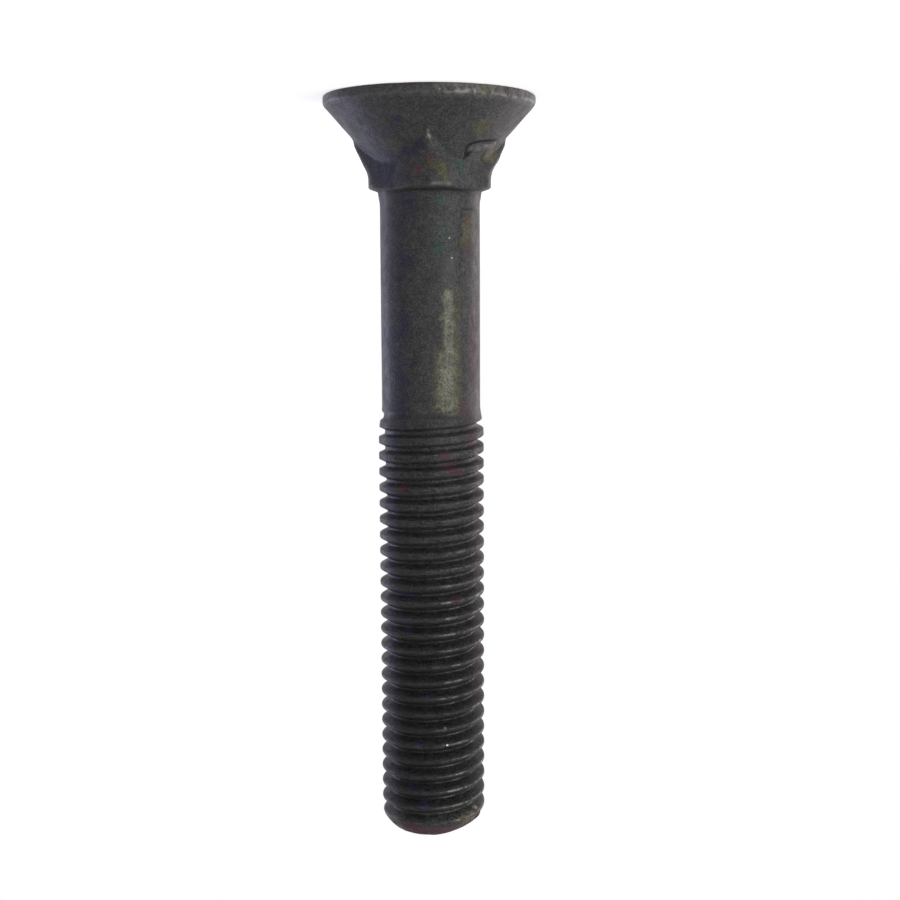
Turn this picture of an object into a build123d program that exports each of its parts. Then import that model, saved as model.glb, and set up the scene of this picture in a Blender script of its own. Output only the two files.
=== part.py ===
"""Plow bolt: a round flat countersunk head, a square neck and a right-hand thread.

The bolt stands on the flat face of its head. The origin is the centre of that
face, and +Z runs along the axis to the threaded point. Sizes are millimetres.
"""

from build123d import *
from math import atan, ceil, cos, degrees, radians, tan
import os

inch = 25.4

# Whole bolt
bolt_length = 3.5 * inch  # from the flat face of the head to the point

# Head: a short straight rim, then the seat that fits a countersunk hole
head_diameter = 24.96
rim_height = 1.0
rim_edge_radius = 0.25
seat_half_angle = 41.7  # degrees between the conical seat and the axis

# Square neck: its corners taper in, then run straight to a shoulder
neck_width = 12.84  # across the flats
corner_taper_height = 5.35  # where the corners begin to taper, above the flat face
corner_taper_angle = 26.2  # degrees between a tapered corner and the axis
neck_corner_diameter = 14.55  # across the corners, once they have tapered
shoulder_height = 10.6  # where the neck ends, above the flat face
shoulder_drop = 0.4  # along the axis, from the neck down to the shank

# Shank
shank_diameter = 11.88
collar_diameter = 12.3  # the shank is a little stouter where it leaves the neck
collar_length = 1.6

# Rolled thread, 1/2 inch with 13 turns to the inch
threads_per_inch = 13
thread_diameter = 0.5 * inch
thread_angle = 60.0  # degrees between the two flanks of a groove
thread_depth_share = 0.563  # depth of the groove, as a share of the pitch
crest_share = 0.25  # width of the crest between two turns, as a share of the pitch
full_thread_height = 38.56  # where the groove reaches its depth, on the -X side
run_out_turns = 1.0  # the groove fades into the shank over this many turns
swell_height = 39.7  # where the shank has swollen to the thread's diameter
swell_length = 3.2
turns_per_cut = 3  # the groove is cut in lengths of this many turns, end to end

# Point
point_diameter = 10.1
point_length = 1.9

# Room for the cutting shapes, which reach past the metal that they remove
groove_overcut = 0.06
trim_overcut = 1.0

# Worked out from the sizes above
head_radius = head_diameter / 2
shank_radius = shank_diameter / 2
thread_radius = thread_diameter / 2
corner_radius = neck_corner_diameter / 2
collar_radius = collar_diameter / 2
point_radius = point_diameter / 2
pitch = inch / threads_per_inch
thread_depth = thread_depth_share * pitch
crest_width = crest_share * pitch
root_radius = thread_radius - thread_depth
flank_slope = tan(radians(thread_angle / 2))
root_width = pitch - crest_width - 2 * thread_depth * flank_slope
cut_depth = thread_depth + groove_overcut
cut_width = root_width + 2 * cut_depth * flank_slope
cut_length = turns_per_cut * pitch
cut_count = ceil((bolt_length + pitch - full_thread_height) / cut_length)
rod_length = full_thread_height + cut_count * cut_length + pitch  # before its point is turned
trim_radius = thread_radius + trim_overcut
trim_slope = point_length / (thread_radius - point_radius)
trim_height = bolt_length - (trim_radius - point_radius) * trim_slope
run_out_angle = atan(cut_depth / (run_out_turns * pitch))
swell_start = swell_height - swell_length
shank_start = shoulder_height + shoulder_drop
seat_height = rim_height + (head_radius - shank_radius) / tan(radians(seat_half_angle))
sharp_corner_radius = neck_width / 2 / cos(radians(45))
taper_length = (sharp_corner_radius - corner_radius) / tan(radians(corner_taper_angle))


# The neck is a square bar whose corners are turned to a taper
with BuildPart() as neck:
    with BuildSketch(Plane.XZ):
        with BuildLine():
            Polyline(
                (0, rim_height),
                (sharp_corner_radius, rim_height),
                (sharp_corner_radius, corner_taper_height),
                (corner_radius, corner_taper_height + taper_length),
                (corner_radius, shoulder_height),
                (collar_radius, shank_start),
                (0, shank_start),
                close=True,
            )
        make_face()
    revolve(axis=Axis.Z)
    with BuildSketch(Plane.XY.offset(rim_height)):
        Rectangle(neck_width, neck_width, rotation=45)
    extrude(amount=shank_start - rim_height, mode=Mode.INTERSECT)

# The groove's section on the -X side
with BuildSketch(
    Plane((-root_radius, 0, full_thread_height), x_dir=(-1, 0, 0), z_dir=(0, 1, 0))
) as groove_section:
    with BuildLine():
        Polyline(
            (0, -root_width / 2),
            (cut_depth, -cut_width / 2),
            (cut_depth, cut_width / 2),
            (0, root_width / 2),
            close=True,
        )
    make_face()

# Both paths start on the -X side, where the thread reaches its depth: the groove
# winds up towards the point, and its run-out winds down and outward into the shank
groove_path = Rot(Z=180) * Helix(pitch, cut_length, root_radius, (0, 0, full_thread_height))
run_out_path = Helix(
    pitch / cos(run_out_angle),
    run_out_turns * pitch,
    root_radius,
    (0, 0, full_thread_height),
    (0, 0, -1),
    degrees(run_out_angle),
)

with BuildPart() as thread_groove:
    sweep(groove_section.sketch, groove_path, is_frenet=True)

with BuildPart() as groove_run_out:
    sweep(groove_section.sketch, run_out_path, is_frenet=True)

# What is turned off the spare rod to leave the chamfered point
with BuildPart() as point_trim:
    with BuildSketch(Plane.XZ):
        with BuildLine():
            Polyline(
                (0, bolt_length),
                (point_radius, bolt_length),
                (trim_radius, trim_height),
                (trim_radius, rod_length + trim_overcut),
                (0, rod_length + trim_overcut),
                close=True,
            )
        make_face()
    revolve(axis=Axis.Z)

with BuildPart() as plow_bolt:
    with BuildSketch(Plane.XZ):
        with BuildLine():
            Polyline(
                (0, 0),
                (head_radius, 0),
                (head_radius, rim_height),
                (shank_radius, seat_height),
                (shank_radius, shank_start),
                (collar_radius, shank_start),
                (shank_radius, shank_start + collar_length),
                (shank_radius, swell_start),
                (thread_radius, swell_height),
                (thread_radius, rod_length),
                (0, rod_length),
                close=True,
            )
        make_face()
    revolve(axis=Axis.Z)
    rim_edges = plow_bolt.edges().filter_by(GeomType.CIRCLE).group_by(Axis.Z)[:2]
    fillet(rim_edges[0] + rim_edges[1], rim_edge_radius)
    add(neck.part)
    with Locations(*[(0, 0, cut * cut_length) for cut in range(cut_count)]):
        add(thread_groove.part, mode=Mode.SUBTRACT)
    add(groove_run_out.part, mode=Mode.SUBTRACT)
    add(point_trim.part, mode=Mode.SUBTRACT)

os.makedirs("parts", exist_ok=True)
plow_bolt.part.label = "plow_bolt"
export_step(plow_bolt.part, "parts/plow_bolt.step")
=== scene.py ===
"""Plow bolt: a blackened, forged and rolled bolt on a pale studio floor.

The bolt stands on the flat face of its head, as its CAD frame does. The origin is the centre of that
face, +Z runs along the axis to the point, and Blender's units are metres. Azimuths are measured about
the axis from +X, anticlockwise as seen from the point.
"""

from collections import namedtuple
from math import atan2, ceil, cos, hypot, pi, radians, sin, tan, tau

import bmesh
import bpy
from mathutils import Matrix, Vector, noise


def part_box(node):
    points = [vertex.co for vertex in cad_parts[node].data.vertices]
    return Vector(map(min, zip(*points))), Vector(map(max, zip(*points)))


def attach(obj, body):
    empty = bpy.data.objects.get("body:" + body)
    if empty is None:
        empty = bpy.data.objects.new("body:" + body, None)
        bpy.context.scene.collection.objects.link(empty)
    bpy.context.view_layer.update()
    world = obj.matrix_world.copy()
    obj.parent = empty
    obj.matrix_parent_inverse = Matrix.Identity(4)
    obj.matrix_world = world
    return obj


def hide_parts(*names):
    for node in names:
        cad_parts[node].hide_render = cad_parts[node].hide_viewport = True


bl_info = {
    "name": "Plow Bolt",
    "version": (1, 0, 0),
    "blender": (4, 5, 0),
    "location": "View3D > Sidebar > Plow Bolt",
    "description": "Makes a blackened plow bolt and the studio that it is shown in",
    "category": "Add Mesh",
}

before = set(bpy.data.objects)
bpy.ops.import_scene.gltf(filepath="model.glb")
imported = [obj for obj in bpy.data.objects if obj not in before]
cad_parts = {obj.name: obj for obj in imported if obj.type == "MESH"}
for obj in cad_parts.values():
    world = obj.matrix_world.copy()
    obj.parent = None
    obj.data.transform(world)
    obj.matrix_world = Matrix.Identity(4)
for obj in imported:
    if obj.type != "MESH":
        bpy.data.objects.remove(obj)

MM = 0.001
CAD_LOW, CAD_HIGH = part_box("plow_bolt")


# ---------------------------------------------------------------------------------------------------
# Sizes, colours and lamps
# ---------------------------------------------------------------------------------------------------


def length(name, description, millimetres):
    """A property that holds a length."""
    return bpy.props.FloatProperty(
        name=name, description=description, default=millimetres * MM, unit="LENGTH", precision=5
    )


def angle(name, description, degrees):
    """A property that holds an angle."""
    return bpy.props.FloatProperty(
        name=name, description=description, default=radians(degrees), subtype="ANGLE"
    )


def colour(name, description, red, green, blue):
    """A property that holds a linear colour."""
    return bpy.props.FloatVectorProperty(
        name=name, description=description, default=(red, green, blue), size=3, subtype="COLOR", min=0, max=1
    )


def share(name, description, amount):
    """A property that holds a share from 0 to 1."""
    return bpy.props.FloatProperty(
        name=name, description=description, default=amount, subtype="FACTOR", min=0, max=1
    )


class BoltSizes(bpy.types.PropertyGroup):
    """The bolt's sizes, as its drawing would give them"""

    bolt_length: length("Bolt Length", "Flat face of the head to the point", (CAD_HIGH.z - CAD_LOW.z) / MM)
    head_radius: length("Head Radius", "Radius of the rim", (CAD_HIGH.x - CAD_LOW.x) / 2 / MM)
    rim_height: length("Rim Height", "Height of the straight rim", 1.0)
    rim_rounding: length("Rim Rounding", "Rounding of both edges of the rim", 0.25)
    seat_half_angle: angle("Seat Angle", "Angle between the conical seat and the axis", 41.7)
    neck_width: length("Neck Width", "Width of the square neck across its flats", 12.84)
    taper_start: length("Taper Start", "Height where the neck's corners begin to taper", 5.35)
    taper_angle: angle("Taper Angle", "Angle between the tapered corners and the axis", 26.2)
    corner_radius: length("Corner Radius", "Radius of the neck's corners below their taper", 7.28)
    shoulder_height: length("Shoulder Height", "Height where the neck ends", 10.6)
    shoulder_drop: length("Shoulder Drop", "Height of the shoulder's slope down to the shank", 0.4)
    collar_radius: length("Collar Radius", "Radius of the shank where it leaves the neck", 6.15)
    collar_length: length("Collar Length", "Length over which that stouter end fades out", 1.6)
    shank_radius: length("Shank Radius", "Radius of the plain shank", 5.94)
    thread_radius: length("Thread Radius", "Radius of the thread's crests", 6.35)
    pitch: length("Pitch", "Height that the thread climbs in one turn", 25.4 / 13)
    crest_growth: length("Crest Growth", "How far the crests rise as the thread fills out", 0.18)
    full_thread: length("Full Thread", "Height where the groove is first full depth, on the -X side", 38.56)
    run_out: length("Run-Out", "Length over which the groove fades into the shank", 1.95)
    filled_out: length("Filled Out", "Height where the thread's form is filled out", 66)
    swell_start: length("Swell Start", "Height where the shank begins to swell into the thread", 36.3)
    swell_length: length("Swell Length", "Length over which it swells", 3.9)
    point_radius: length("Point Radius", "Radius of the flat end", 5.1)
    point_length: length("Point Length", "Length of the chamfer at the end", 2.2)


class BoltFinish(bpy.types.PropertyGroup):
    """The colours of the oxide, of what lies on it and of the steel where the oxide is worn off; some of them
    also paint highlights and shade
    """

    oxide: colour("Oxide", "Black oxide over most of the bolt", 0.048, 0.048, 0.048)
    thin_oxide: colour("Thin Oxide", "The oxide's paler patches", 0.060, 0.060, 0.060)
    # Also the colour of the painted shade on the neck's left flat
    blue_oxide_and_shade: colour("Blue Oxide", "The oxide's coldest patches", 0.030, 0.028, 0.064)
    oxide_green: colour("Green Oxide", "Where old oil gives the oxide a green cast", 0.036, 0.062, 0.052)
    # The colour that the bolt darkens to towards the point
    thread_oxide: colour("Thread Oxide", "The darker, oilier oxide towards the point", 0.0185, 0.0185, 0.0185)
    tarnish: colour("Tarnish", "Thin yellowish oxide over scuffed steel", 0.158, 0.158, 0.122)
    # Also the colour of the painted highlights on the thread's crests and roots, the rim and the neck's tips
    steel: colour("Steel", "Bare steel on the sharpest edges", 0.30, 0.29, 0.275)
    rust: colour("Rust", "Light red rust", 0.084, 0.030, 0.042)
    ochre: colour("Ochre", "Older, yellower rust", 0.084, 0.080, 0.045)
    # Oil and dirt, and also the colour of the painted shade in the hollows and on the front-left
    dirt_and_shade_tone: colour("Grime", "Oil and dirt in the hollows", 0.006, 0.006, 0.006)
    # How strongly the worn edges and the painted highlights show
    wear_and_highlight: share("Rubbed", "How far the edges are rubbed", 0.6)


class BoltStudio(bpy.types.PropertyGroup):
    """The camera and the lamps"""

    floor: colour("Floor", "Colour of the floor", 0.86, 0.86, 0.86)
    ambient: share("Ambient", "Strength of the light that comes from all round", 0.35)
    camera_distance: length("Camera Distance", "Camera to the bolt's axis", 157.7)
    camera_height: length("Camera Height", "Camera above the floor", 20.57)
    camera_aside: length("Camera Aside", "Camera's place to the -X side of the axis", 2.26)
    camera_tilt: angle("Camera Tilt", "Angle that the camera looks above the horizon", 7.69)
    camera_lean: angle(
        "Camera Lean", "Angle that the camera is off a half turn about its line of sight", 0.27
    )
    field_of_view: angle("Field of View", "The camera's field of view", 38.0)


# ---------------------------------------------------------------------------------------------------
# Shape
# ---------------------------------------------------------------------------------------------------

# How finely the skin is divided round the axis
HEAD_COLUMNS = 256
THREAD_COLUMNS = 128
END_COLUMNS = 64
# Rows of the thread's skin, as shares of the way from the middle of the groove to the middle of the crest
HALF_THREAD_ROWS = (0.0, 0.1, 0.2, 0.3, 0.42, 0.55, 0.64, 0.72, 0.81, 0.90, 1.0)
# Rings of the flat end, as shares of its radius
END_RINGS = (0.95, 0.85, 0.7, 0.55, 0.4, 0.25, 0.1)

# Turns below the full thread where the wound skin starts, and where it is cut off to join the blank's skin
WOUND_TURNS = 3
JOIN_TURNS = 1.6
# The gaps that are left for the skins of the thread, the blank and the flat end to be bridged over
JOIN_GAP = 0.3 * MM
END_GAP = 0.06 * MM
# Vertices that are nearer to each other than this are one
WELD = 0.004 * MM

# The groove's depth, and the widths of its root and of the crest as shares of the pitch: where the thread
# begins, part of the way up, and where it is filled out
THREAD_FORMS = ((0.76 * MM, 0.25, 0.40), (1.06 * MM, 0.14, 0.27), (1.20 * MM, 0.08, 0.13))
PART_OF_THE_WAY = 0.45
# How far below the point the groove begins to close, and over what share of a pitch it does
GROOVE_END = 1.6 * MM
GROOVE_CLOSING = 0.35

# The radius at which the neck's azimuths are turned into lengths round it
NECK_RADIUS = 7.8 * MM
# Heights and depths of what forging, rolling and shearing leave on the skin
SHANK_WAVES = 0.010 * MM
FORGED_WAVES = 0.034 * MM
SHEARED_WAVES = 0.12 * MM
DENTS = 0.16 * MM
FOLD_RISE = 0.2 * MM
CRACK_DEPTH = 0.26 * MM
RIM_CHIPS = 0.22 * MM
RIM_WAVES = 0.035 * MM
END_CUP = 0.05 * MM
END_RAGGED = 0.10 * MM
END_SLANT = 0.42 * MM


def smooth_min(first, second, rounding):
    """The smaller of two values, with the corner between them rounded."""
    overlap = max(rounding - abs(first - second), 0) / rounding
    return min(first, second) - overlap * overlap * rounding / 4


def smooth_max(first, second, rounding):
    """The larger of two values, with the corner between them rounded."""
    return -smooth_min(-first, -second, rounding)


def ramp(value, start, end):
    """A smooth climb from 0 at start to 1 at end."""
    way = min(max((value - start) / (end - start), 0), 1)
    return way * way * (3 - 2 * way)


def turned(azimuth, start, end):
    """A smooth climb from 0 at one azimuth to 1 at another, both given in degrees."""
    return ramp(azimuth, radians(start), radians(end))


def seat_radius(sizes, height):
    """The conical seat's radius."""
    return sizes.head_radius - (height - sizes.rim_height) * tan(sizes.seat_half_angle)


def square_radius(sizes, azimuth):
    """The square bar's radius, with its corners on the X and Y axes."""
    across = max(abs(cos(azimuth - pi / 4)), abs(sin(azimuth - pi / 4)))
    return sizes.neck_width / 2 / across


def corner_limit(sizes, height):
    """The radius that the neck's corners are forged down to."""
    sharp = sizes.neck_width / 2 / cos(pi / 4)
    tapered = sharp - (height - sizes.taper_start) * tan(sizes.taper_angle)
    limit = smooth_max(smooth_min(tapered, sharp, 0.3 * MM), sizes.corner_radius, 0.3 * MM)
    fall = (height - sizes.shoulder_height) / sizes.shoulder_drop
    shoulder = sizes.corner_radius - fall * (sizes.corner_radius - sizes.collar_radius)
    return smooth_min(limit, shoulder, 0.12 * MM)


def shank_radius_at(sizes, height):
    """The turned radius of the shank and of the blank that the thread is rolled on."""
    above_collar = height - sizes.shoulder_height - sizes.shoulder_drop
    collar = (sizes.collar_radius - sizes.shank_radius) * (1 - ramp(above_collar, 0, sizes.collar_length))
    swell = ramp(height, sizes.swell_start, sizes.swell_start + sizes.swell_length)
    return sizes.shank_radius + collar + swell * (sizes.thread_radius - sizes.shank_radius)


def point_limit(sizes, height):
    """The radius that the chamfer at the end leaves."""
    along = max(height - sizes.bolt_length + sizes.point_length, 0) / sizes.point_length
    clear = sizes.thread_radius + 0.05 * MM
    return clear - (clear - sizes.point_radius) * along**1.6


def thread_place(sizes, azimuth, height):
    """How far a place is above the middle of the groove, in half pitches, and that middle's height."""
    wound = (azimuth - pi) / tau
    turn = (height - sizes.full_thread) / sizes.pitch - wound
    middle = sizes.full_thread + (round(turn) + wound) * sizes.pitch
    return (height - middle) / (sizes.pitch / 2), middle


def thread_form(sizes, middle):
    """The groove's depth, root and crest at a height: rolling fills the thread out as it goes up the bolt."""
    half_way = sizes.full_thread + PART_OF_THE_WAY * (sizes.filled_out - sizes.full_thread)
    early, half, late = THREAD_FORMS
    first = ramp(middle, sizes.full_thread, half_way)
    second = ramp(middle, half_way, sizes.filled_out)
    return [
        start + first * (between - start) + second * (end - between)
        for start, between, end in zip(early, half, late)
    ]


def groove_share(sizes, azimuth, height):
    """How deep a place lies in the groove: 0 on the crest and 1 in the root."""
    aside, middle = thread_place(sizes, azimuth, height)
    _, root, crest = thread_form(sizes, middle)
    flank = (1 - crest - abs(aside)) / (1 - crest - root)
    crest_rounding = 0.14 + 0.2 * ramp(middle, sizes.full_thread, sizes.filled_out)
    return smooth_max(smooth_min(flank, 1, 0.2), 0, crest_rounding)


def groove_begun(sizes, middle):
    """How far the groove has bitten in: 0 on the shank and 1 where it is full depth."""
    return ramp(middle, sizes.full_thread - sizes.run_out, sizes.full_thread + 0.15 * MM)


def groove_depth(sizes, azimuth, height):
    """Depth of the groove: straight flanks, a rounded root and rounded crests, run out at both ends."""
    _, middle = thread_place(sizes, azimuth, height)
    depth, _, _ = thread_form(sizes, middle)
    last = sizes.bolt_length - GROOVE_END
    ends = 1 - ramp(middle, last, last + GROOVE_CLOSING * sizes.pitch)
    return groove_begun(sizes, middle) * ends * groove_share(sizes, azimuth, height) * depth


def bolt_radius(sizes, azimuth, height):
    """The bolt's radius at an azimuth and a height above the rim."""
    shank = shank_radius_at(sizes, height)
    if height > sizes.full_thread - WOUND_TURNS * sizes.pitch:
        grown = 0.4 * ramp(height, sizes.swell_start, sizes.full_thread)
        grown += 0.6 * ramp(height, sizes.full_thread, sizes.filled_out)
        threaded = shank + sizes.crest_growth * grown - groove_depth(sizes, azimuth, height)
        return smooth_min(threaded, point_limit(sizes, height), 0.15 * MM)
    neck = smooth_min(square_radius(sizes, azimuth), corner_limit(sizes, height), 0.22 * MM)
    forged = smooth_max(seat_radius(sizes, height), neck, 0.25 * MM)
    return smooth_max(forged, shank, 0.1 * MM)


def azimuth_of(place):
    """The azimuth of a place."""
    return atan2(place.y, place.x)


def fold_place(place, azimuth, height, turn):
    """A place on the neck, in millimetres along and across a fold whose middle and turn are given."""
    aside = (azimuth_of(place) - radians(azimuth)) * NECK_RADIUS / MM
    above = place.z / MM - height
    turn = radians(turn)
    return aside * cos(turn) + above * sin(turn), above * cos(turn) - aside * sin(turn)


def past_oval(along, across, half_length, half_width):
    """How far a place is past the edge of a blunt oval, in millimetres."""
    share = (abs(along / half_length) ** 3 + abs(across / half_width) ** 3) ** (1 / 3)
    slope = hypot(along**2 / half_length**3, across**2 / half_width**3) / share**2
    return (share - 1) / slope


def upper_fold(place):
    """Where a place is along and across the upper fold, and how far past its edge."""
    along, across = fold_place(place, -142, 6.25, 9)
    return along, across, past_oval(along, across, 2.35, 0.62)


def lower_fold(place):
    """Where a place is along and across the lower fold, and how far past its edge."""
    along, across = fold_place(place, -166, 7.1, -12)
    return along, across, past_oval(along, across, 2.1, 0.9)


def lap_fold(place):
    """The metal that is folded over where forging lapped the neck onto the seat: 1 on the folds."""
    return max(ramp(-upper_fold(place)[2], 0.0, 0.45), 0.4 * ramp(-lower_fold(place)[2], 0.0, 0.6))


def lap_crease(place):
    """The crack on the head side of the upper fold, the one round the lower fold, and the pit by them."""
    along, across, past = upper_fold(place)
    upper = (1 - ramp(abs(past - 0.08), 0.02, 0.14)) * max(ramp(-across, -0.3, 0.3), ramp(along, 1.3, 1.9))
    upper *= ramp(along, -2.2, -1.4)
    along, across, past = lower_fold(place)
    lower = (1 - ramp(abs(past - 0.08), 0.02, 0.12)) * ramp(along, -0.2, 0.8) * ramp(across, -0.4, 0.1)
    pit = 1 - ramp(past_oval(*fold_place(place, -128.5, 7.15, 35), 0.5, 0.34), -0.25, 0.12)
    return max(0.9 * upper, 0.5 * lower, pit)


def near_lap(place):
    """Whether a place lies where the skin needs finer faces for the lap."""
    return radians(-184) < azimuth_of(place) < radians(-120) and 5.2 * MM < place.z < 8.6 * MM


def forging_relief(sizes, place):
    """Waves all over, stronger at the sheared end, and the dents and the lap of the forged head and neck."""
    waves = noise.noise(place * (0.33 / MM)) + 0.5 * noise.noise(place * (0.9 / MM))
    dents = max(noise.noise(place * (0.6 / MM) + Vector((7, 3, 5))) - 0.25, 0)
    forged = 1 - ramp(place.z, sizes.shoulder_height - 1 * MM, sizes.shoulder_height + 1 * MM)
    sheared = ramp(place.z, sizes.bolt_length - 2.2 * MM, sizes.bolt_length - 1.2 * MM)
    relief = (SHANK_WAVES + FORGED_WAVES * forged + SHEARED_WAVES * sheared) * waves
    if forged == 0:
        return relief
    return relief - DENTS * forged * dents + FOLD_RISE * lap_fold(place) - CRACK_DEPTH * lap_crease(place)


def shape_verts(sizes, verts):
    """Moves skin vertices in or out to the bolt's own radius, and adds the forging relief."""
    for vert in verts:
        place = vert.co.copy()
        reach = bolt_radius(sizes, azimuth_of(place), place.z) + forging_relief(sizes, place)
        outward = Vector((place.x, place.y, 0)).normalized()
        vert.co = outward * reach + Vector((0, 0, place.z))


def wire(mesh, corners):
    """A chain of edges on the -X side. Each corner is (radius, height, edges up to the next one)."""
    radius, height, _ = corners[0]
    vert = mesh.verts.new((-radius, 0, height))
    for (radius, height, rows), (next_radius, next_height, _) in zip(corners, corners[1:]):
        step = Vector((radius - next_radius, 0, next_height - height)) / rows
        for _ in range(rows):
            vert = bmesh.ops.extrude_vert_indiv(mesh, verts=[vert])["verts"][0]
            vert.co += step
    return [edge for edge in mesh.edges if edge.is_wire]


def spin(mesh, edges, columns, rise=0.0):
    """Winds a chain of edges once round the axis, climbing by rise."""
    verts = list({vert for edge in edges for vert in edge.verts})
    bmesh.ops.spin(
        mesh,
        geom=verts + edges,
        cent=(0, 0, 0),
        axis=(0, 0, 1),
        dvec=(0, 0, rise / columns),
        angle=tau,
        steps=columns,
        use_merge=rise == 0,
    )


def rolled_thread(mesh, sizes, low, high):
    """The threaded length's skin: one turn is wound, repeated up the bolt, shaped and cut off level."""
    start = sizes.full_thread - WOUND_TURNS * sizes.pitch
    rows = [-row for row in reversed(HALF_THREAD_ROWS)] + list(HALF_THREAD_ROWS[1:])
    section = [(sizes.shank_radius, start + row * sizes.pitch / 2, 1) for row in rows]
    spin(mesh, wire(mesh, section), THREAD_COLUMNS, sizes.pitch)
    one_turn = mesh.verts[:] + mesh.edges[:] + mesh.faces[:]
    for turn in range(1, ceil((high - start) / sizes.pitch) + 1):
        copy = bmesh.ops.duplicate(mesh, geom=one_turn)["geom"]
        verts = [item for item in copy if isinstance(item, bmesh.types.BMVert)]
        bmesh.ops.translate(mesh, verts=verts, vec=(0, 0, turn * sizes.pitch))
    bmesh.ops.remove_doubles(mesh, verts=mesh.verts[:], dist=WELD)
    shape_verts(sizes, mesh.verts)
    for height, way in ((low, -1), (high, 1)):
        bmesh.ops.bisect_plane(
            mesh,
            geom=mesh.verts[:] + mesh.edges[:] + mesh.faces[:],
            dist=WELD / 8,
            plane_co=(0, 0, height),
            plane_no=(0, 0, way),
            clear_outer=True,
        )


def is_rim_corner(sizes, edge):
    """Whether an edge runs round one of the rim's two corners."""
    low, high = sorted(vert.co.z for vert in edge.verts)
    outermost = all(hypot(*vert.co.xy) > sizes.head_radius - 0.01 * MM for vert in edge.verts)
    return outermost and high < sizes.rim_height + 0.1 * MM and high - low < 0.01 * MM


def chip_rim(mesh, sizes):
    """Leaves the rim a little out of round, and chipped along the edge of the flat face."""
    for vert in mesh.verts:
        if vert.co.z < sizes.rim_height + 0.3 * MM and hypot(*vert.co.xy) > sizes.head_radius - 0.4 * MM:
            chip = max(noise.noise(vert.co * (0.8 / MM)) - 0.1, 0) * (1 - ramp(vert.co.z, 0, 0.6 * MM))
            dint = noise.noise(vert.co * (0.5 / MM) + Vector((1, 8, 2)))
            outward = Vector((vert.co.x, vert.co.y, 0)).normalized()
            vert.co -= outward * (RIM_CHIPS * chip + RIM_WAVES * dint)


def forged_blank(mesh, sizes, top):
    """The head, neck and plain shank: a turned skin whose rim is rounded and whose neck is squared."""
    seat_start = sizes.rim_height
    neck_start = sizes.taper_start - 1.1 * MM
    neck_end = sizes.shoulder_height + 0.7 * MM
    before = set(mesh.verts)
    edges = wire(
        mesh,
        [
            (0, 0, 4),
            (sizes.head_radius, 0, 1),
            (sizes.head_radius, seat_start, 1),
            (seat_radius(sizes, seat_start + 0.6 * MM), seat_start + 0.6 * MM, 9),
            (seat_radius(sizes, neck_start), neck_start, 44),
            (sizes.collar_radius, neck_end, 4),
            (sizes.shank_radius, neck_end + 2 * MM, 14),
            (sizes.shank_radius, top, 0),
        ],
    )
    spin(mesh, edges, HEAD_COLUMNS)
    fine = [edge for edge in mesh.edges if all(near_lap(vert.co) for vert in edge.verts)]
    bmesh.ops.subdivide_edges(mesh, edges=fine, cuts=1, use_grid_fill=True)
    verts = [vert for vert in mesh.verts if vert not in before]
    bmesh.ops.remove_doubles(mesh, verts=verts, dist=WELD)
    verts = [vert for vert in mesh.verts if vert not in before]
    shape_verts(sizes, [vert for vert in verts if vert.co.z > seat_start + 0.3 * MM])
    bmesh.ops.bevel(
        mesh,
        geom=[edge for edge in mesh.edges if is_rim_corner(sizes, edge)],
        offset=sizes.rim_rounding,
        offset_type="OFFSET",
        segments=4,
        profile=0.5,
        affect="EDGES",
        material=-1,
    )
    chip_rim(mesh, sizes)


def open_rings(mesh):
    """The mesh's open rings of edges, lowest first."""
    rings = []
    left = {edge for edge in mesh.edges if edge.is_boundary}
    while left:
        ring = [left.pop()]
        for edge in ring:
            near = {other for vert in edge.verts for other in vert.link_edges} & left
            ring.extend(near)
            left -= near
        rings.append(ring)
    return sorted(rings, key=lambda ring: ring[0].verts[0].co.z)


def flat_end(mesh, sizes, ring):
    """Closes the point with a slightly cupped face, and leaves that end ragged and sheared aslant."""
    reach = END_RINGS[0]
    verts = bmesh.ops.create_circle(mesh, segments=END_COLUMNS, radius=reach * sizes.point_radius)["verts"]
    bmesh.ops.translate(mesh, verts=verts, vec=(0, 0, sizes.bolt_length - END_CUP * (1 - reach**2)))
    inner = [edge for edge in mesh.edges if edge.is_wire]
    bmesh.ops.bridge_loops(mesh, edges=ring + inner)
    for next_reach in END_RINGS[1:]:
        grown = bmesh.ops.extrude_edge_only(mesh, edges=inner)["geom"]
        verts = [item for item in grown if isinstance(item, bmesh.types.BMVert)]
        inner = [item for item in grown if isinstance(item, bmesh.types.BMEdge) and item.is_boundary]
        narrower = next_reach / reach
        bmesh.ops.scale(mesh, verts=verts, vec=(narrower, narrower, 1))
        bmesh.ops.translate(mesh, verts=verts, vec=(0, 0, END_CUP * (next_reach**2 - reach**2)))
        reach = next_reach
    middle = bmesh.ops.holes_fill(mesh, edges=inner, sides=END_COLUMNS)["faces"]
    bmesh.ops.poke(mesh, faces=middle)
    for vert in mesh.verts:
        near_end = ramp(vert.co.z, sizes.bolt_length - 1.6 * MM, sizes.bolt_length)
        ragged = END_RAGGED * (noise.noise(vert.co * (0.6 / MM)) - 0.5)
        vert.co.z += near_end * (ragged - END_SLANT * ramp(-vert.co.x, 0, sizes.point_radius))


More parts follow.
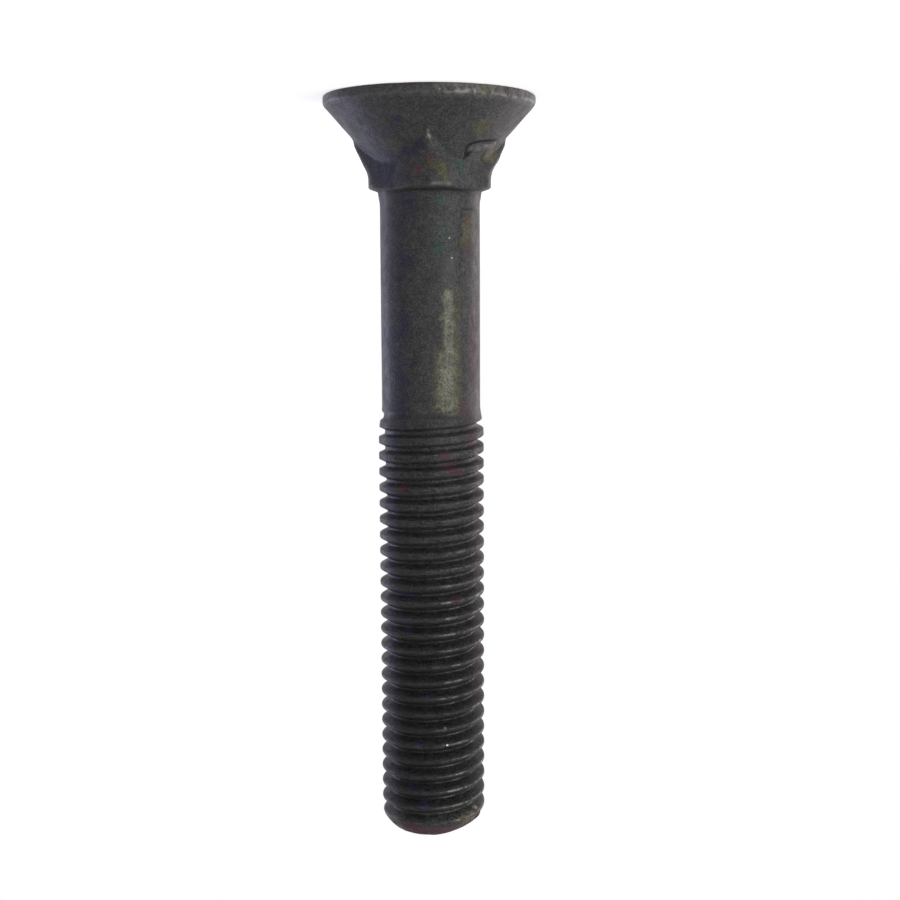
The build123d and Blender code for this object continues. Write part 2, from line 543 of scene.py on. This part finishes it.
def thread_wear(sizes, place):
    """How worn the thread is at a place with its painted highlight lines, its painted shade, and how rusty it
    is.
    """
    azimuth = azimuth_of(place)
    aside, middle = thread_place(sizes, azimuth, place.z)
    _, _, crest = thread_form(sizes, middle)
    deep = groove_share(sizes, azimuth, place.z)
    begun = groove_begun(sizes, middle)
    grown = ramp(place.z, sizes.full_thread, sizes.filled_out)
    below_crest = 1 - aside if aside > 0 else -1 - aside
    # Painted highlight lines, with a little wear, along the crests and the roots: strongest on the side that
    # the right lamp lights, and growing as the thread fills out
    crest_highlight = 1 - ramp(abs(below_crest - max(crest - 0.08, 0.05)), 0.04, 0.17)
    root_highlight = 1 - ramp(abs(aside), 0.04, 0.2)
    lit_side = 0.2 + 0.8 * turned(-azimuth, 86, 108)
    wear_and_highlight = begun * (0.12 + 0.88 * grown) * lit_side * max(crest_highlight, 0.6 * root_highlight)
    # Painted shade on the flanks, heavier on those that face the head, and deep in the groove's first shallow
    # turns
    flank = ramp(deep, 0.12, 0.5) * (1 - ramp(deep, 0.8, 0.98))
    first_bite = ramp(begun, 0.02, 0.12) * (1 - ramp(begun, 0.4, 0.9)) * ramp(deep, 0.5, 0.95)
    painted_shade = max(begun * (0.15 if aside > 0 else 0.05) * flank, 0.5 * first_bite)
    rusty = ramp(place.z, sizes.bolt_length - 1.8 * MM, sizes.bolt_length - 0.9 * MM)
    return wear_and_highlight, painted_shade, rusty


def forged_wear(sizes, place):
    """How worn the head, the neck and the shank are at a place with their painted highlights, their painted
    shade, and how rusty they are.
    """
    azimuth = azimuth_of(place)
    square = square_radius(sizes, azimuth)
    # A painted glint, with some wear, on the flats' edges where the neck's corners come out of the seat
    edge_of_flat = 1 - ramp(abs(square - corner_limit(sizes, place.z)), 0.0, 0.2 * MM)
    tip = 1 - ramp(abs(place.z - sizes.taper_start + 0.2 * MM), 0.1 * MM, 0.7 * MM)
    above_shoulder = place.z - sizes.shoulder_height
    lip = ramp(above_shoulder, -0.5 * MM, -0.2 * MM) * (1 - ramp(above_shoulder, 0, 0.15 * MM))
    beside_corner = square_radius(sizes, azimuth + radians(11))
    corner = ramp(beside_corner, sizes.corner_radius + 0.3 * MM, sizes.corner_radius + 0.7 * MM)
    # The rim's edge is worn all round; its edge and its side are also a painted highlight, strongest towards
    # both ends
    rim_edge = 1 - ramp(abs(place.z - sizes.rim_height - 0.05 * MM), 0.04 * MM, 0.22 * MM)
    rim_side = 0.62 * (1 - ramp(place.z, sizes.rim_height - 0.1 * MM, sizes.rim_height + 0.1 * MM))
    lit_rim_ends = max(turned(azimuth, -45, -15), turned(-azimuth, 86, 106))
    rim = (0.3 + 0.7 * lit_rim_ends) * max(rim_edge, rim_side)
    wear_and_highlight = max(1.6 * edge_of_flat * tip, 0.55 * lip * corner, rim, 0.5 * lap_fold(place) ** 2)
    # Painted shade in the recess under the shoulder, in the lap's crack and along the crease where the neck
    # meets the seat
    recess = ramp(above_shoulder, 0.15 * MM, 0.4 * MM) * (1 - ramp(above_shoulder, 0.45 * MM, 0.9 * MM))
    meeting = 1 - ramp(abs(square + 0.12 * MM - seat_radius(sizes, place.z)), 0.03 * MM, 0.2 * MM)
    return wear_and_highlight, max(recess, lap_crease(place), 0.3 * meeting), 0


def wear_layers(mesh, sizes):
    """Writes on each vertex its wear and painted highlights, its painted shade, and how rusty it is."""
    layers = [mesh.verts.layers.float.new(name) for name in ("wear_and_highlight", "painted_shade", "rusty")]
    for vert in mesh.verts:
        threaded = vert.co.z > sizes.full_thread - 1.5 * sizes.run_out
        wear = thread_wear(sizes, vert.co) if threaded else forged_wear(sizes, vert.co)
        for layer, amount in zip(layers, wear):
            vert[layer] = amount


# ---------------------------------------------------------------------------------------------------
# Finish
# ---------------------------------------------------------------------------------------------------


Spot = namedtuple("Spot", "azimuth radius height round_reach along_reach strength")
Patch = namedtuple("Patch", "from_azimuth to_azimuth low high softness strength")

# Heights, in millimetres, between which the shank's finish gives way to the thread's
THREAD_FINISH = (37.0, 42.0)
# How the colour darkens towards the point, and lightens again near its end: from a height, to a height, by a
# share
DARKENING = ((37.1, 38.0, 0.36), (38.0, 44.0, 0.20), (44.0, 72.0, 0.42), (84.5, 86.5, -0.45))

# Where the finish is stained: azimuths in degrees, then millimetres, then how strongly.
# First the coldest, bluish oxide; the first five spots, on and beside the neck's left flat, also paint shade
# there
COLD_SPOTS = (
    Spot(-82, 8.1, 6.1, 1.1, 0.9, 1.0),
    Spot(-70, 7.6, 7.0, 1.5, 0.9, 0.8),
    Spot(-52, 7.0, 7.6, 2.6, 1.6, 0.7),
    Spot(-39, 6.5, 8.6, 3.4, 2.6, 0.8),
    Spot(-60, 6.6, 9.6, 2.2, 1.2, 0.6),
    Spot(-16, 7.8, 6.3, 3.2, 2.8, 0.7),
    Spot(-70, 10.2, 3.5, 1.2, 0.9, 0.55),
    Spot(-60, 9.4, 4.4, 1.1, 0.8, 0.4),
    Spot(-28, 10.8, 2.6, 5.0, 2.6, 0.5),
    Spot(-64, 6.0, 12.3, 2.0, 2.0, 0.6),
    Spot(-52, 5.9, 15.3, 2.2, 1.5, 0.5),
    Spot(-28, 5.9, 17.0, 2.4, 9.0, 0.5),
    Spot(-60, 5.9, 19.0, 2.0, 1.5, 0.55),
    Spot(-52, 5.9, 21.1, 1.7, 0.4, 0.8),
    Spot(-44, 5.9, 23.0, 1.4, 1.3, 0.6),
    Spot(-57, 5.9, 26.4, 1.8, 2.8, 0.6),
    Spot(-38, 5.9, 29.0, 2.4, 7.0, 0.65),
    Spot(-52, 5.9, 33.0, 2.4, 4.4, 0.6),
    Spot(-45, 6.0, 36.5, 2.4, 2.4, 0.8),
    Spot(-40, 6.2, 40.0, 1.9, 2.6, 0.7),
    Spot(-34, 6.2, 48.0, 2.2, 5.0, 0.6),
    Spot(-52, 6.3, 58.6, 2.0, 1.1, 0.9),
    Spot(-60, 6.3, 62.6, 1.0, 1.3, 0.8),
    Spot(-22, 6.2, 64.0, 2.6, 9.0, 0.6),
    Spot(-18, 6.2, 77.0, 2.4, 8.0, 0.55),
    Spot(-84, 6.3, 70.8, 0.9, 0.9, 0.5),
    Spot(-74, 6.3, 76.5, 0.8, 1.5, 0.6),
    Spot(-94, 6.3, 77.9, 1.0, 0.6, 0.5),
    Spot(-70, 6.3, 80.0, 1.2, 0.8, 0.9),
    Spot(-65, 6.3, 82.1, 1.1, 1.0, 1.0),
    Spot(-77, 6.3, 84.2, 1.3, 1.0, 1.0),
    Spot(-93, 6.3, 83.7, 1.4, 0.6, 0.7),
)
COLD_PATCHES = (
    Patch(-52, 30, 0.0, 36.0, 1.2, 0.5),
    Patch(-42, 30, 35.0, 86.0, 0.9, 0.6),
)
# The green cast of old oil
GREEN_SPOTS = (
    Spot(-102, 6.0, 12.1, 0.9, 0.9, 0.8),
    Spot(-108, 5.9, 15.8, 0.8, 1.7, 0.7),
    Spot(-101, 5.9, 17.7, 1.0, 1.0, 0.9),
    Spot(-123, 6.6, 8.4, 1.3, 1.2, 0.9),
    Spot(-103, 7.7, 6.4, 0.8, 0.8, 0.5),
    Spot(-36, 10.2, 3.4, 1.0, 1.4, 0.5),
)
# Older, yellower rust, which also lies round the long scuff
OCHRE_SPOTS = (
    Spot(-129, 9.5, 4.35, 1.7, 1.4, 0.8),
    Spot(-94, 7.65, 8.2, 1.0, 0.9, 0.6),
    Spot(-101, 7.3, 8.9, 1.1, 1.0, 1.0),
    Spot(-107, 7.2, 9.7, 0.9, 0.9, 0.8),
    Spot(-165, 7.4, 7.1, 1.9, 1.4, 0.9),
    Spot(-60, 8.2, 6.4, 1.4, 0.8, 0.4),
    Spot(-106, 12.3, 1.2, 0.6, 0.4, 0.4),
    Spot(-120, 12.4, 0.6, 1.7, 0.8, 0.9),
    Spot(-140, 5.9, 15.2, 1.7, 1.9, 0.7),
    Spot(-133, 5.9, 16.8, 1.1, 1.1, 0.6),
    Spot(-136, 5.6, 86.9, 2.4, 1.0, 1.0),
)
OCHRE_PATCHES = (
    Patch(-126, -103, 22.3, 30.0, 0.35, 0.8),
    Patch(-129, -94, 29.2, 37.0, 0.45, 0.9),
)
# Light red rust
RED_SPOTS = (
    Spot(-79, 7.4, 8.8, 1.0, 0.9, 0.45),
    Spot(-92, 7.9, 7.7, 0.9, 0.9, 0.4),
    Spot(-81, 12.4, 0.2, 1.6, 0.5, 0.45),
    Spot(-139, 12.4, 0.6, 2.4, 0.8, 0.2),
    Spot(-72, 5.9, 28.8, 0.7, 0.4, 0.3),
    Spot(-140, 5.9, 14.6, 1.0, 1.0, 0.25),
    Spot(-141, 5.9, 18.0, 1.4, 1.3, 0.4),
    Spot(-136, 6.0, 36.3, 1.8, 1.8, 0.4),
    Spot(-152, 5.9, 30.0, 1.8, 8.0, 0.3),
    Spot(-104, 6.3, 41.7, 0.9, 1.1, 0.5),
    Spot(-110, 6.0, 43.1, 1.2, 0.7, 0.9),
    Spot(-116, 6.3, 43.7, 1.5, 0.7, 0.9),
    Spot(-146, 6.2, 39.5, 1.6, 2.8, 0.3),
    Spot(-56, 6.3, 45.5, 0.9, 1.0, 0.75),
    Spot(-119, 6.3, 59.4, 1.1, 1.3, 0.25),
    Spot(-160, 6.3, 48.0, 1.6, 14.0, 0.3),
    Spot(-162, 6.3, 68.0, 1.5, 8.0, 0.25),
    Spot(-139, 5.4, 87.3, 1.4, 0.9, 0.4),
    Spot(-68, 5.4, 87.7, 2.4, 1.1, 1.0),
    Spot(-98, 5.2, 88.1, 1.6, 0.8, 0.8),
    Spot(-150, 5.8, 86.8, 1.2, 0.9, 0.4),
)
# The long scuff down the shank
SCUFF_PATCHES = (
    Patch(-117, -104, 22.4, 36.6, 0.25, 0.85),
    Patch(-114, -105, 30.4, 32.6, 0.4, 1.1),
    Patch(-115, -106, 35.4, 36.4, 0.3, 1.1),
    Patch(-120, -98, 29.8, 36.7, 0.7, 0.75),
)
# Specks where the oxide has chipped off, and a broad, faint spot that lightens the left of the chamfer
BARE_SPOTS = (
    Spot(-113, 5.95, 16.5, 0.14, 0.14, 1.0),
    Spot(-116, 5.95, 18.8, 0.13, 0.13, 1.0),
    Spot(-96, 12.4, 0.75, 0.16, 0.16, 1.0),
    Spot(-104, 6.4, 74.8, 0.22, 0.16, 1.0),
    Spot(-106, 6.4, 77.0, 0.20, 0.14, 1.0),
    Spot(-149, 6.2, 86.0, 0.55, 0.45, 0.8),
    Spot(-127, 7.9, 7.1, 0.16, 0.12, 0.8),
    # A broad, faint spot that lightens the left of the chamfer
    Spot(-36, 5.8, 86.8, 2.0, 1.2, 0.13),
    Spot(-52, 5.9, 85.2, 0.5, 0.3, 0.35),
)
# The dark outline of a dried drip of oil, then painted shade on the front and front-left of the cone, the
# neck, the shank and the thread towards the point
DRIP_AND_SHADE_PATCHES = (
    Patch(-128, -126.4, 13.4, 21.0, 0.07, 0.8),
    Patch(-146, -126.5, 13.1, 13.4, 0.07, 0.7),
    Patch(-118, -106, 22.2, 22.5, 0.08, 0.5),
    # The rest are painted shade on the front and front-left, away from the key lamp
    Patch(-88, -54, 11.0, 44.0, 1.6, 0.28),
    Patch(-108, -60, 1.2, 5.6, 1.2, 0.22),
    Patch(-92, -66, 5.2, 10.4, 0.5, 0.4),
    Patch(-86, -48, 66.0, 86.0, 1.2, 0.25),
)


class Recipe:
    """Adds nodes to a material. Sizes are millimetres, and patterns read the object's own place."""

    def __init__(self, tree):
        tree.nodes.clear()
        self.tree = tree
        place = self.add("ShaderNodeTexCoord", {}).outputs["Object"]
        self.place = self.scaled(place, 1 / MM)
        across, back, self.height = self.add("ShaderNodeSeparateXYZ", {0: self.place}).outputs
        self.azimuth = self.maths("MULTIPLY", self.maths("ARCTAN2", back, across), 180 / pi)
        # How far round the back a place is, and what makes the stains' edges ragged and their insides cloudy
        self.behind = self.between(back, -1.5, 3.0)
        self.ragged = self.between(self.noise(1.3, detail=5.0, roughness=0.6, shift=90), 0.2, 0.8, -0.4, 0.4)
        self.cloudy = self.between(self.noise(0.9, detail=5.0, roughness=0.65, shift=3), 0.36, 0.62, 0.3, 1.1)

    def add(self, kind, inputs, **settings):
        """Adds a node, sets it up, and joins or sets each input named."""
        node = self.tree.nodes.new(kind)
        for name, value in settings.items():
            setattr(node, name, value)
        for name, value in inputs.items():
            if isinstance(value, bpy.types.NodeSocket):
                self.tree.links.new(value, node.inputs[name])
            else:
                node.inputs[name].default_value = value
        return node

    def scaled(self, value, scale):
        """A place or a colour, times a number."""
        return self.add(
            "ShaderNodeVectorMath", {0: value, "Scale": scale}, operation="SCALE"
        ).outputs[0]

    def noise(self, size, detail=3.0, roughness=0.55, shift=0.0, stretch=(1, 1, 1)):
        """Soft noise with features about this many millimetres across."""
        scale = [1 / size / way for way in stretch]
        place = self.add(
            "ShaderNodeMapping", {"Vector": self.place, "Location": (shift, shift, shift), "Scale": scale}
        ).outputs[0]
        return self.add(
            "ShaderNodeTexNoise", {"Vector": place, "Scale": 1.0, "Detail": detail, "Roughness": roughness}
        ).outputs["Fac"]

    def attribute(self, name):
        """A wear layer of the mesh."""
        return self.add("ShaderNodeAttribute", {}, attribute_name=name).outputs["Fac"]

    def between(self, value, low, high, to_low=0.0, to_high=1.0):
        """Takes low..high smoothly to to_low..to_high."""
        return self.add(
            "ShaderNodeMapRange",
            {"Value": value, "From Min": low, "From Max": high, "To Min": to_low, "To Max": to_high},
            interpolation_type="SMOOTHSTEP",
        ).outputs[0]

    def shank_to_thread(self, on_shank, on_thread):
        """A value that changes where the shank gives way to the thread."""
        return self.between(self.height, *THREAD_FINISH, on_shank, on_thread)

    def maths(self, operation, first, second, clamp=False):
        """One sum of two values."""
        return self.add(
            "ShaderNodeMath", {0: first, 1: second}, operation=operation, use_clamp=clamp
        ).outputs[0]

    def blend(self, amount, first, second):
        """Goes from the first colour to the second."""
        first, second = [
            value if isinstance(value, bpy.types.NodeSocket) else (*value, 1) for value in (first, second)
        ]
        return self.add("ShaderNodeMix", {0: amount, 6: first, 7: second}, data_type="RGBA").outputs[2]

    def spots(self, spots, floor=0.0):
        """Each spot's strength at its middle, fading to nothing past its ragged edge."""
        stained = floor
        for spot in spots:
            turn = radians(spot.azimuth)
            middle = Vector((spot.radius * cos(turn), spot.radius * sin(turn), spot.height))
            size = Vector((1 / spot.round_reach, 1 / spot.round_reach, 1 / spot.along_reach))
            place = self.add(
                "ShaderNodeVectorMath", {0: self.place, 1: size, 2: -middle * size}, operation="MULTIPLY_ADD"
            ).outputs[0]
            away = self.add("ShaderNodeVectorMath", {0: place}, operation="LENGTH").outputs["Value"]
            here = self.between(self.maths("ADD", away, self.ragged), 0.2, 1.1, spot.strength, 0.0)
            stained = self.maths("MAXIMUM", stained, here)
        return stained

    def patches(self, patches, floor=0.0):
        """Each patch's cloudy strength inside its ragged edges."""
        azimuth = self.maths("ADD", self.azimuth, self.maths("MULTIPLY", self.ragged, 11.0))
        height = self.maths("ADD", self.height, self.maths("MULTIPLY", self.ragged, 0.4))
        stained = floor
        for patch in patches:
            here = self.maths("MULTIPLY", self.cloudy, patch.strength)
            soft = patch.softness
            turn = soft * 10
            for value, start, end in (
                (azimuth, patch.from_azimuth - turn, patch.from_azimuth + turn),
                (azimuth, patch.to_azimuth + turn, patch.to_azimuth - turn),
                (height, patch.low - soft, patch.low + soft),
                (height, patch.high + soft, patch.high - soft),
            ):
                here = self.maths("MULTIPLY", here, self.between(value, start, end))
            stained = self.maths("MAXIMUM", stained, here)
        return stained


def blackened_finish(finish):
    """Black oxide with cold and green patches, worn edges, painted highlights, painted shade, dried oil,
    light rust and scuffs.
    """
    material = bpy.data.materials.new("blackened_steel_finish")
    material.use_nodes = True
    recipe = Recipe(material.node_tree)
    height, behind = recipe.height, recipe.behind

    # The oxide: paler and darker patches, and darker towards the point
    mottle = recipe.between(recipe.noise(2.6, detail=5.0, roughness=0.62), 0.36, 0.64)
    tone = recipe.blend(mottle, tuple(finish.oxide), tuple(finish.thin_oxide))
    threaded = 0.0
    for low, high, darker in DARKENING:
        threaded = recipe.maths("ADD", threaded, recipe.between(height, low, high, 0.0, darker))
    tone = recipe.blend(threaded, tone, tuple(finish.thread_oxide))

    # Stains: a cold cast down one side, listed spots, some of which also paint shade on the neck's left flat,
    # and more round the back
    cold = recipe.between(recipe.noise(4.0, detail=3.0, shift=11), 0.54, 0.70, 0.0, 0.45)
    cold = recipe.maths("MAXIMUM", recipe.maths("MULTIPLY", cold, behind), recipe.patches(COLD_PATCHES))
    cold = recipe.spots(COLD_SPOTS, cold)
    tone = recipe.blend(cold, tone, tuple(finish.blue_oxide_and_shade))
    green = recipe.between(recipe.noise(5.0, detail=2.0, shift=23), 0.60, 0.72, 0.0, 0.4)
    green = recipe.spots(GREEN_SPOTS, recipe.maths("MULTIPLY", green, behind))
    tone = recipe.blend(green, tone, tuple(finish.oxide_green))
    ochre = recipe.between(recipe.noise(3.0, detail=4.0, shift=37), 0.58, 0.72, 0.0, 0.5)
    ochre = recipe.patches(OCHRE_PATCHES, recipe.spots(OCHRE_SPOTS, recipe.maths("MULTIPLY", ochre, behind)))
    tone = recipe.blend(ochre, tone, tuple(finish.ochre))

    # Painted shade in the hollows and on the front-left, the dark outline where oil has dried, and the long
    # scuff on the shank
    painted_shade = recipe.maths("MULTIPLY", recipe.attribute("painted_shade"), 0.9)
    tone = recipe.blend(recipe.patches(DRIP_AND_SHADE_PATCHES, painted_shade), tone, tuple(finish.dirt_and_shade_tone))
    scuff = recipe.patches(SCUFF_PATCHES)
    tone = recipe.blend(scuff, tone, tuple(finish.tarnish))

    # Speckle and blotches all over, and drawn-out marks along the thread
    speckle = recipe.noise(0.16, detail=2.0, shift=5)
    darkest, palest = recipe.shank_to_thread(0.5, 0.25), recipe.shank_to_thread(1.5, 1.75)
    speckle = recipe.between(speckle, 0.28, 0.72, darkest, palest)
    blotch = recipe.between(recipe.noise(0.55, detail=4.0, roughness=0.6, shift=7), 0.3, 0.7, 0.78, 1.22)
    drawn = recipe.noise(0.13, detail=3.0, roughness=0.6, shift=13, stretch=(9, 9, 1))
    darkest, palest = recipe.shank_to_thread(1.0, 0.6), recipe.shank_to_thread(1.0, 1.45)
    drawn = recipe.between(drawn, 0.3, 0.7, darkest, palest)
    shade = recipe.maths("MULTIPLY", recipe.maths("MULTIPLY", speckle, blotch), drawn)
    tone = recipe.scaled(tone, shade)

    # Worn edges and painted highlights, the chipped specks and the rust
    bare = recipe.between(recipe.noise(0.7, detail=4.0, roughness=0.65, shift=41), 0.38, 0.60, 0.15, 1.0)
    wear_and_highlight = recipe.maths("MULTIPLY", recipe.attribute("wear_and_highlight"), bare)
    wear_and_highlight = recipe.maths("MULTIPLY", wear_and_highlight, finish.wear_and_highlight)
    faintest = recipe.between(height, 30.0, 50.0, 1.0, 0.1)
    strongest = recipe.between(height, 30.0, 50.0, 1.0, 0.6)
    broken = recipe.between(recipe.noise(2.2, detail=2.0, shift=47), 0.36, 0.60, faintest, strongest)
    wear_and_highlight = recipe.maths("MULTIPLY", wear_and_highlight, broken)
    wear_and_highlight = recipe.maths("MAXIMUM", wear_and_highlight, recipe.spots(BARE_SPOTS))
    tone = recipe.blend(wear_and_highlight, tone, tuple(finish.steel))
    flaking = recipe.noise(1.2, detail=5.0, roughness=0.65, shift=61)
    flaking = recipe.between(flaking, 0.40, 0.58, 0.1, 0.9)
    rusty = recipe.spots(RED_SPOTS, recipe.maths("MULTIPLY", recipe.attribute("rusty"), flaking))
    tone = recipe.blend(rusty, tone, tuple(finish.rust))

    # Gloss and fine relief: rust is duller, the scuff is a little smoother, the thread's grain is deeper
    roughness = recipe.between(recipe.noise(1.3, detail=4.0, shift=31), 0.3, 0.7, 0.38, 0.54)
    roughness = recipe.maths("ADD", roughness, recipe.maths("MULTIPLY", rusty, 0.3))
    roughness = recipe.maths("SUBTRACT", roughness, recipe.maths("MULTIPLY", scuff, 0.06))

    grain = recipe.noise(0.22, detail=3.0, roughness=0.6, shift=71)
    pits = recipe.between(recipe.noise(0.9, detail=3.0, shift=81), 0.62, 0.72)
    relief = recipe.maths("SUBTRACT", grain, recipe.maths("MULTIPLY", pits, 0.8))
    relief = recipe.maths("MULTIPLY", relief, recipe.shank_to_thread(1.0, 1.9))
    bump = recipe.add("ShaderNodeBump", {"Strength": 0.5, "Distance": 0.05 * MM, "Height": relief})

    shine = recipe.between(height, 36.0, 46.0, 0.8, 3.0)
    shader = recipe.add(
        "ShaderNodeBsdfPrincipled",
        {
            "Base Color": tone,
            "Metallic": recipe.maths("MULTIPLY", wear_and_highlight, shine, clamp=True),
            "Roughness": roughness,
            "Specular IOR Level": 0.13,
            "Normal": bump.outputs[0],
        },
    )
    recipe.add("ShaderNodeOutputMaterial", {"Surface": shader.outputs[0]})
    return material


# ---------------------------------------------------------------------------------------------------
# Operators
# ---------------------------------------------------------------------------------------------------


def new_object(name, data, context):
    """Links a mesh, a lamp or a camera into the scene as a named object at the origin."""
    made = bpy.data.objects.new(name, data)
    context.scene.collection.objects.link(made)
    return made


class PLOWBOLT_OT_make_bolt(bpy.types.Operator):
    """Makes the whole bolt in one piece: forged head, square neck, shank and rolled thread"""

    bl_idname = "plow_bolt.make_bolt"
    bl_label = "Make Bolt"

    def execute(self, context):
        sizes = context.scene.plow_bolt_sizes
        join = sizes.full_thread - JOIN_TURNS * sizes.pitch
        mesh = bmesh.new()
        rolled_thread(mesh, sizes, join, sizes.bolt_length - END_GAP)
        forged_blank(mesh, sizes, join - JOIN_GAP)
        rings = open_rings(mesh)
        bmesh.ops.bridge_loops(mesh, edges=rings[0] + rings[1])
        flat_end(mesh, sizes, rings[2])
        bmesh.ops.recalc_face_normals(mesh, faces=mesh.faces[:])
        for face in mesh.faces:
            face.smooth = True
        wear_layers(mesh, sizes)
        data = bpy.data.meshes.new("forged_bolt")
        mesh.to_mesh(data)
        mesh.free()
        bolt = new_object("forged_bolt", data, context)
        data.materials.append(blackened_finish(context.scene.plow_bolt_finish))
        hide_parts("plow_bolt")
        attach(bolt, "root")
        return {"FINISHED"}


Lamp = namedtuple("Lamp", "name place target size power tint")

# Places and sizes in millimetres, powers in watts
LAMPS = (
    Lamp("right_lamp", (-230, -230, 15), (0, 0, 30), (160, 200), 0.90, (1, 1, 1)),
    Lamp("right_edge_lamp", (-230, 170, 40), (0, 0, 40), (60, 260), 0.40, (1.0, 0.86, 0.89)),
    Lamp("left_edge_lamp", (232, 155, 95), (0, 0, 35), (60, 260), 0.35, (0.74, 0.73, 1.0)),
    Lamp("top_lamp", (0, -60, 420), (0, 0, 40), (300, 300), 0.07, (1, 1, 1)),
)
# The floor's glow by distance from the bolt: it is less near it, where the lamps light the floor
FLOOR_GLOW = {"From Min": 150 * MM, "From Max": 320 * MM, "To Min": 0.55, "To Max": 0.68}
FLOOR_RADIUS = 4


def light_path_white(tree, socket):
    """Feeds a socket 1 for rays from the camera, off gloss and through glass, and 0 for the rest."""
    path = tree.nodes.new("ShaderNodeLightPath")
    seen = path.outputs["Is Camera Ray"]
    for name in ("Is Glossy Ray", "Is Transmission Ray"):
        either = tree.nodes.new("ShaderNodeMath")
        either.operation = "MAXIMUM"
        tree.links.new(seen, either.inputs[0])
        tree.links.new(path.outputs[name], either.inputs[1])
        seen = either.outputs[0]
    tree.links.new(seen, socket)


def white_world(studio):
    """A world that is white to the camera and in reflections, and a soft plain light to the rest."""
    world = bpy.data.worlds.new("studio_world")
    world.use_nodes = True
    tree = world.node_tree
    background = tree.nodes["Background"]
    strength = tree.nodes.new("ShaderNodeMapRange")
    strength.inputs["To Min"].default_value = studio.ambient
    strength.inputs["To Max"].default_value = 1.0
    light_path_white(tree, strength.inputs["Value"])
    background.inputs["Color"].default_value = (1, 1, 1, 1)
    tree.links.new(strength.outputs[0], background.inputs["Strength"])
    return world


def pale_floor(studio):
    """A matt floor that glows to the camera, so that it is white but for the bolt's shadow."""
    material = bpy.data.materials.new("pale_floor")
    material.use_nodes = True
    tree = material.node_tree
    shader = tree.nodes["Principled BSDF"]
    shader.inputs["Base Color"].default_value = (*studio.floor, 1)
    shader.inputs["Roughness"].default_value = 0.9
    shader.inputs["Emission Color"].default_value = (1, 1, 1, 1)
    place = tree.nodes.new("ShaderNodeTexCoord")
    away = tree.nodes.new("ShaderNodeVectorMath")
    away.operation = "LENGTH"
    tree.links.new(place.outputs["Object"], away.inputs[0])
    unlit = tree.nodes.new("ShaderNodeMapRange")
    for name, value in FLOOR_GLOW.items():
        unlit.inputs[name].default_value = value
    tree.links.new(away.outputs["Value"], unlit.inputs["Value"])
    glow = tree.nodes.new("ShaderNodeMath")
    glow.operation = "MULTIPLY"
    tree.links.new(unlit.outputs[0], glow.inputs[1])
    light_path_white(tree, glow.inputs[0])
    tree.links.new(glow.outputs[0], shader.inputs["Emission Strength"])
    return material


def area_lamp(context, lamp):
    """Hangs a soft lamp that points at its target."""
    data = bpy.data.lights.new(lamp.name, "AREA")
    data.shape = "RECTANGLE"
    data.size, data.size_y = [side * MM for side in lamp.size]
    data.energy = lamp.power
    data.color = lamp.tint
    hung = new_object(lamp.name, data, context)
    hung.location = Vector(lamp.place) * MM
    hung.rotation_euler = (Vector(lamp.target) * MM - hung.location).to_track_quat("-Z", "Y").to_euler()


def studio_camera(context, studio):
    """The camera, which is turned about its line of sight by nearly half a turn."""
    data = bpy.data.cameras.new("studio_camera")
    data.angle = studio.field_of_view
    data.clip_start = 1 * MM
    camera = new_object("studio_camera", data, context)
    place = (-studio.camera_aside, -studio.camera_distance, studio.camera_height)
    camera.matrix_world = (
        Matrix.Translation(place)
        @ Matrix.Rotation(pi / 2 + studio.camera_tilt, 4, "X")
        @ Matrix.Rotation(pi - studio.camera_lean, 4, "Z")
    )
    return camera


class PLOWBOLT_OT_make_studio(bpy.types.Operator):
    """Makes the floor, the soft lamps, the white surroundings and the camera"""

    bl_idname = "plow_bolt.make_studio"
    bl_label = "Make Studio"

    def execute(self, context):
        studio = context.scene.plow_bolt_studio
        scene = context.scene
        scene.view_settings.view_transform = "Standard"
        scene.world = white_world(studio)

        mesh = bmesh.new()
        bmesh.ops.create_circle(mesh, cap_ends=True, segments=96, radius=FLOOR_RADIUS)
        data = bpy.data.meshes.new("studio_floor")
        mesh.to_mesh(data)
        mesh.free()
        floor = new_object("studio_floor", data, context)
        data.materials.append(pale_floor(studio))

        for lamp in LAMPS:
            area_lamp(context, lamp)
        scene.camera = studio_camera(context, studio)
        return {"FINISHED"}


class PLOWBOLT_PT_sidebar(bpy.types.Panel):
    """Lists the bolt's operators and sizes"""

    bl_label = "Plow Bolt"
    bl_idname = "PLOWBOLT_PT_sidebar"
    bl_space_type = "VIEW_3D"
    bl_region_type = "UI"
    bl_category = "Plow Bolt"

    def draw(self, context):
        column = self.layout.column()
        for operator in OPERATORS:
            column.operator(operator.bl_idname)
        for group in (
            context.scene.plow_bolt_sizes,
            context.scene.plow_bolt_finish,
            context.scene.plow_bolt_studio,
        ):
            column.separator()
            for name in group.bl_rna.properties.keys():
                if name not in ("rna_type", "name"):
                    column.prop(group, name)


OPERATORS = (PLOWBOLT_OT_make_bolt, PLOWBOLT_OT_make_studio)
CLASSES = (BoltSizes, BoltFinish, BoltStudio, *OPERATORS, PLOWBOLT_PT_sidebar)


def register():
    """Registers the classes and gives each scene its sizes, finish and studio."""
    for cls in CLASSES:
        bpy.utils.register_class(cls)
    bpy.types.Scene.plow_bolt_sizes = bpy.props.PointerProperty(type=BoltSizes)
    bpy.types.Scene.plow_bolt_finish = bpy.props.PointerProperty(type=BoltFinish)
    bpy.types.Scene.plow_bolt_studio = bpy.props.PointerProperty(type=BoltStudio)


def unregister():
    """Takes away what register() added."""
    del bpy.types.Scene.plow_bolt_studio
    del bpy.types.Scene.plow_bolt_finish
    del bpy.types.Scene.plow_bolt_sizes
    for cls in reversed(CLASSES):
        bpy.utils.unregister_class(cls)


def main():
    """Makes the bolt and its studio."""
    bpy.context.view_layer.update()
    register()
    for operator in OPERATORS:
        group, name = operator.bl_idname.split(".")
        getattr(getattr(bpy.ops, group), name)()


if __name__ == "__main__":
    main()
